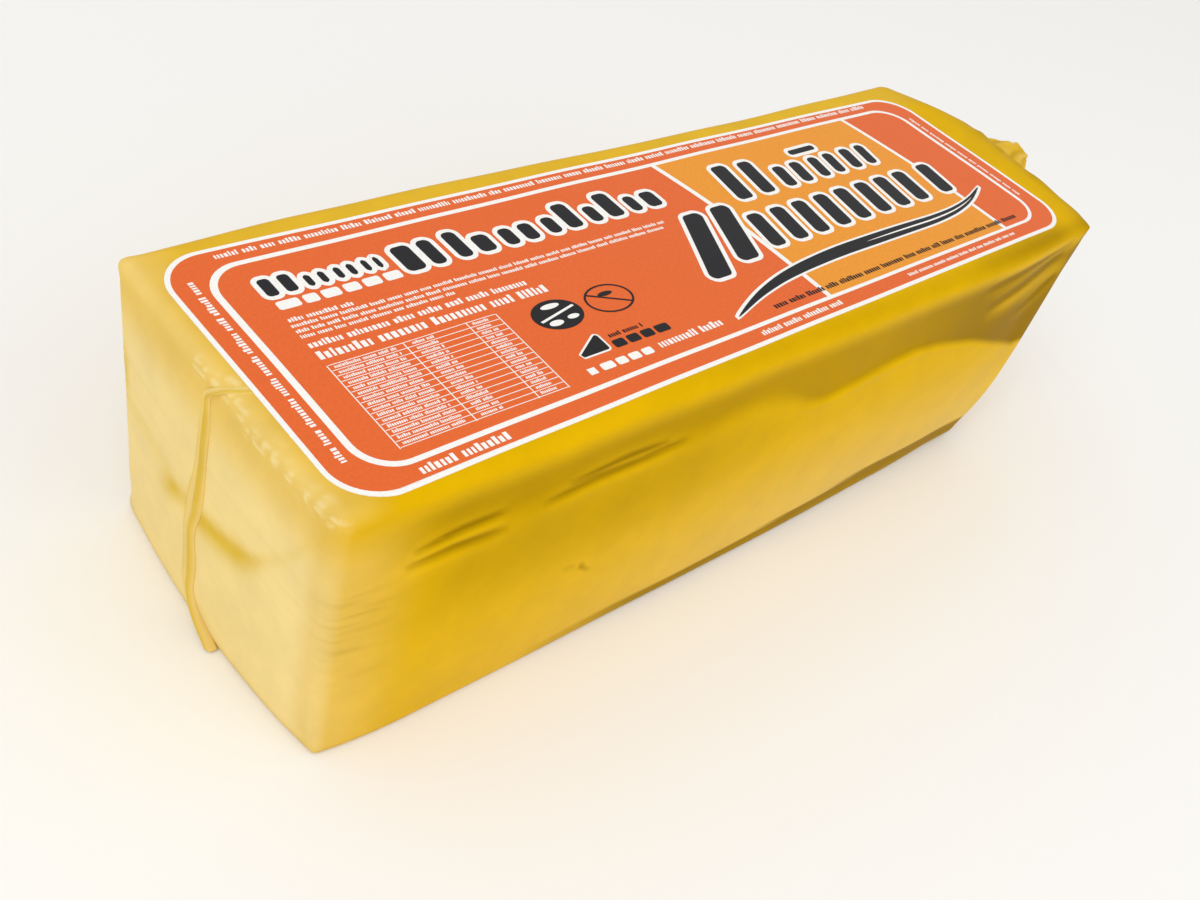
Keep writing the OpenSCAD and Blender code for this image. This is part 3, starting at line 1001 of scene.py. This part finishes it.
# Middle line of the curved stroke under the banner, and half its greatest breadth
STROKE = (
    (143.5, -34.6), (152, -31), (163, -27.6), (178, -24.8), (200, -23), (230, -23.2), (256, -23.4),
    (272, -21.6), (281, -18.8), (287.5, -15.6))
STROKE_HALF = 2.4


def stroke(layer, margin, first=0, last=96, share=1.0):
    """Lays all of the curved stroke, or a part and share of it, with a margin round it."""
    xs = np.linspace(STROKE[0][0], STROKE[-1][0], 97)
    ys = np.interp(xs, [p[0] for p in STROKE], [p[1] for p in STROKE])
    ys = np.convolve(np.pad(ys, 6, mode="reflect", reflect_type="odd"), np.ones(13) / 13, "valid")
    sides = ([], [])
    for k in range(first, last + 1):
        t = (k - first) / (last - first)
        x = xs[k] + margin * (2 * t - 1)
        half = share * STROKE_HALF * math.sin(math.pi * min(1.0, t)) ** 0.6 + margin
        sides[0].append((x, ys[k] - half))
        sides[1].append((x, ys[k] + half))
    layer.ribbon(*sides)


# Rows of ticks in place of small words, each with its start, end, height and slope: on the
# panel and on the border
PANEL_ROWS = (
    ((26, 13.2), (45, 13.2), 1.2, 0), ((25.5, 10.9), (155, 10.9), 1.0, 0),
    ((25.5, 8.6), (153, 8.6), 1.0, 0), ((25.5, 6.4), (72, 6.4), 1.0, 0),
    ((25.5, 2.7), (93.5, 2.7), 1.7, 0), ((25.5, -1.7), (97.5, -1.7), 2.4, 0))
BORDER_ROWS = (
    ((22, 43.1), (288, 40.4), 1.5, -0.0098), ((11.4, 36), (11.4, -35), 1.5, 0),
    ((25.5, -45.6), (51, -45.6), 2.1, 0.018), ((145, -43.2), (180, -43.2), 1.5, 0.018),
    ((215, -41.9), (276, -41.9), 1.0, 0.018), ((300.6, 28), (300.6, -26), 1.0, 0))


class LOAF_OT_label(bpy.types.Operator):
    """Make the printed label on the top"""
    bl_idname = "loaf.label"
    bl_label = "Label"

    def execute(self, context):
        group = context.scene.loaf_label
        sheet, ink, edging = group.sheet / MM, group.ink / MM, group.edging / MM
        paint = {
            name: print_material(f"{name}_ink_on_film", getattr(group, name))
            for name in ("orange", "amber", "white", "black")}
        base, orange, amber, white, black, light = (Layer() for _ in range(6))
        base.fill(rounded(*SHEET, ARC_STEPS))
        orange.ribbon(rounded(*BORDER_OUT, ARC_STEPS), rounded(*BORDER_IN, ARC_STEPS), closed=True)
        # White lines about 2 mm wide are left between the panel's three fields
        left, right = panel_line(174.2, 179.6), panel_line(269.6, 275.2)
        panel_field(orange, panel_end(PANEL_X[0], 1), lambda v: left(v) - 1)
        panel_field(amber, lambda v: left(v) + 1, lambda v: right(v) - 0.9)
        panel_field(orange, lambda v: right(v) + 0.9, panel_end(PANEL_X[1], -1))
        self.big_shapes(white, black, light, edging)
        self.small_print(white, black)
        self.badges(white, black, light)
        film = print_material("white_label_film", group.white)
        piece = base.laid("label_sheet", film, LABEL_LIFT, sheet)
        finish_piece(piece, "label")
        lift = LABEL_LIFT + sheet + LAYER_GAP
        for name, ink_name, layer, level in (
                ("orange", "orange", orange, 0), ("amber", "amber", amber, 0),
                ("white", "white", white, 1), ("black", "black", black, 2),
                ("marks", "white", light, 3)):
            height = lift + level * (ink + LAYER_GAP)
            piece = layer.laid(f"print_{name}", paint[ink_name], height, ink)
            finish_piece(piece)
        return {"FINISHED"}

    def big_shapes(self, white, black, light, edging):
        """Bars in place of the big words, and the stroke under them."""
        for corners, radius in TITLE + BANNER:
            black.fill(rounded(corners, radius))
            white.fill(rounded(grown(corners, edging), radius + edging))
        # The curved stroke under them, with its white edge and the fine white line in it
        stroke(black, 0)
        stroke(white, 0.8)
        stroke(light, 0, 48, 90, 0.14)

    def small_print(self, white, black):
        """Rows of ticks in place of the small words, and the ruled table."""
        # White bars where the second word of the title stands
        for x0, x1 in ((26.5, 33), (34.2, 38.4), (39.6, 45), (46.2, 51), (52.2, 57.5), (58.7, 64)):
            white.fill(rounded(box(x0, 17.6, x1, 21), 0.8, 3))
        for seed, (start, stop, height, slope) in enumerate(PANEL_ROWS, 1):
            white.words(start, stop, height, seed, slope)
        # Ruled table
        top, pitch, rows = -5.4, 2.11, 15
        for x in (25.3, 47.6, 67.4, 77.3):
            white.fill(box(x, -37.4, x + 0.3, top))
        for row in range(rows + 1):
            y = top - pitch * row
            white.fill(box(25.8, y - 0.11, 77.2, y + 0.11))
            if row < rows:
                for k, (x0, x1) in enumerate(((27, 45), (50, 56.5), (69, 74))):
                    white.words((x0, y - 1.1), (x1, y - 1.1), 0.8, 20 + 3 * row + k)
        for seed, (start, stop, height, slope) in enumerate(BORDER_ROWS, 7):
            white.words(start, stop, height, seed, slope)
        black.words((158, -35.6), (285, -35.6), 1.5, 13, slope=0.014)

    def badges(self, white, black, light):
        """A plain disc, a crossed ring, a wedge with bars, and a row of white bars."""
        black.fill(ellipse(93.7, -12.2, 8.2, 6.1))
        mark = [(93.7, -8.6, 3.2, 1.0), (91, -15.2, 2.4, 1.1), (97.4, -14.6, 2.0, 0.9)]
        for x, y, rx, ry in mark:
            light.fill(ellipse(x, y, rx, ry, 20))
        light.fill(((86.9, -13.2), (87.3, -13.9), (100.6, -10.9), (100.2, -10.2)))
        black.ribbon(ellipse(112.5, -12.3, 8.1, 6.0), ellipse(112.5, -12.3, 7.4, 5.4), closed=True)
        black.fill(((107.0, -8.6), (106.6, -9.1), (118.0, -16.2), (118.4, -15.7)))
        black.fill(ellipse(112.6, -10.2, 2.6, 0.9))
        wedge = ((86.5, -29.8), (98, -29.8), (98, -23))
        black.fill(rounded(wedge, 0.7, 3))
        white.fill(rounded(grown(wedge, 0.6), 1.3, 3))
        for x0, x1 in ((100, 104.2), (105.2, 109.4), (110.4, 114.6), (115.6, 120.6)):
            black.fill(rounded(box(x0, -30.4, x1, -27.4), 0.7, 3))
        black.words((101, -25.6), (113, -25.6), 1.2, 14)
        white.fill(box(86, -36.2, 88.6, -33.8))
        for x0, x1 in ((90.5, 95), (96, 99.6), (100.6, 104.4), (105.4, 109)):
            white.fill(rounded(box(x0, -36.2, x1, -33.6), 0.6, 3))
        white.words((112, -34.6), (136, -34.6), 2.0, 15, slope=0.02)


# ---- stage

# The floor in metres, and its gap under the base in millimetres, so that the faces don't fight
FLOOR_HALF, FLOOR_GAP = 3.0, 0.4
# Both lamps are wide discs aimed at the loaf, in metres
LAMP_WIDTH = 1.2
KEY_PLACE, FRONT_PLACE = (-0.9, -0.5, 1.3), (0.4, -1.3, 0.9)
# The camera looks down on the front corner of the seam end: its lens, how it is turned in
# degrees, and its place from the seam end's top edge
LENS, SENSOR = 40.49, 36
CAMERA_TURN = (47.673, -13.61, -40.35)
CAMERA_PLACE = (-127.74, -210.59, 307.95)


class LOAF_OT_stage(bpy.types.Operator):
    """Make the floor, the lights and the camera"""
    bl_idname = "loaf.stage"
    bl_label = "Stage"

    def execute(self, context):
        scene = context.scene
        group = scene.loaf_stage
        bm = bmesh.new()
        bmesh.ops.create_grid(bm, x_segments=1, y_segments=1, size=FLOOR_HALF)
        bmesh.ops.translate(bm, vec=(0, 0, -FLOOR_GAP * MM), verts=bm.verts)
        floor = add_object("stage_floor", bm, floor_material(), smooth_faces=False)
        world = bpy.data.worlds.new("soft_room")
        world.use_nodes = True
        background = world.node_tree.nodes["Background"]
        background.inputs["Color"].default_value = (1, 1, 1, 1)
        background.inputs["Strength"].default_value = group.room
        scene.world = world
        scene.view_settings.view_transform = "Standard"
        self.light("key_light", KEY_PLACE, group.key)
        self.light("front_light", FRONT_PLACE, group.front)
        self.camera(scene)
        return {"FINISHED"}

    def light(self, name, place, watts):
        """One disc lamp aimed at the loaf."""
        lamp = bpy.data.lights.new(name, "AREA")
        lamp.shape = "DISK"
        lamp.size = LAMP_WIDTH
        lamp.energy = watts
        piece = bpy.data.objects.new(name, lamp)
        piece.location = place
        piece.rotation_euler = (-Vector(place)).to_track_quat("-Z", "Y").to_euler()
        bpy.context.scene.collection.objects.link(piece)

    def camera(self, scene):
        """The scene's camera."""
        lens = bpy.data.cameras.new("camera")
        lens.lens = LENS
        lens.sensor_width = SENSOR
        lens.clip_start = 0.01
        turn = Euler([math.radians(angle) for angle in CAMERA_TURN])
        place = (Vector((ORIGIN_X, 0, 0)) + Vector(CAMERA_PLACE)) * MM
        camera = bpy.data.objects.new("camera", lens)
        camera.matrix_world = Matrix.LocRotScale(place, turn, None)
        scene.collection.objects.link(camera)
        scene.camera = camera


class LOAF_PT_panel(bpy.types.Panel):
    """Lists the steps that build the loaf"""
    bl_idname = "LOAF_PT_panel"
    bl_label = "Cheddar Loaf"
    bl_space_type = "VIEW_3D"
    bl_region_type = "UI"
    bl_category = "Loaf"

    def draw(self, context):
        for group, _, operator in STEPS:
            if group:
                settings = getattr(context.scene, group)
                for key in settings.__annotations__:
                    self.layout.prop(settings, key)
            if operator:
                self.layout.operator(operator)


# Each step: its settings' name on the scene, their class, and the operator that builds it
STEPS = (
    ("loaf_form", LoafFormSettings, ""),
    ("loaf_film", LoafFilmSettings, "loaf.film"),
    ("loaf_seam", LoafSeamSettings, "loaf.seam"),
    ("loaf_tail", LoafTailSettings, "loaf.tail"),
    ("loaf_label", LoafLabelSettings, "loaf.label"),
    ("loaf_stage", LoafStageSettings, "loaf.stage"),
)
CLASSES = tuple(step[1] for step in STEPS) + (
    LOAF_OT_film, LOAF_OT_seam, LOAF_OT_tail, LOAF_OT_label, LOAF_OT_stage, LOAF_PT_panel)


def register():
    """Adds the classes and the scene's settings."""
    for cls in CLASSES:
        bpy.utils.register_class(cls)
    for name, cls, _ in STEPS:
        setattr(bpy.types.Scene, name, PointerProperty(type=cls))


def unregister():
    """Takes them away again."""
    for name, _, _ in STEPS:
        delattr(bpy.types.Scene, name)
    for cls in reversed(CLASSES):
        bpy.utils.unregister_class(cls)


def main():
    """Builds the loaf and its stage."""
    register()
    bpy.ops.loaf.film()
    bpy.ops.loaf.seam()
    bpy.ops.loaf.tail()
    bpy.ops.loaf.label()
    bpy.ops.loaf.stage()


if __name__ == "__main__":
    main()
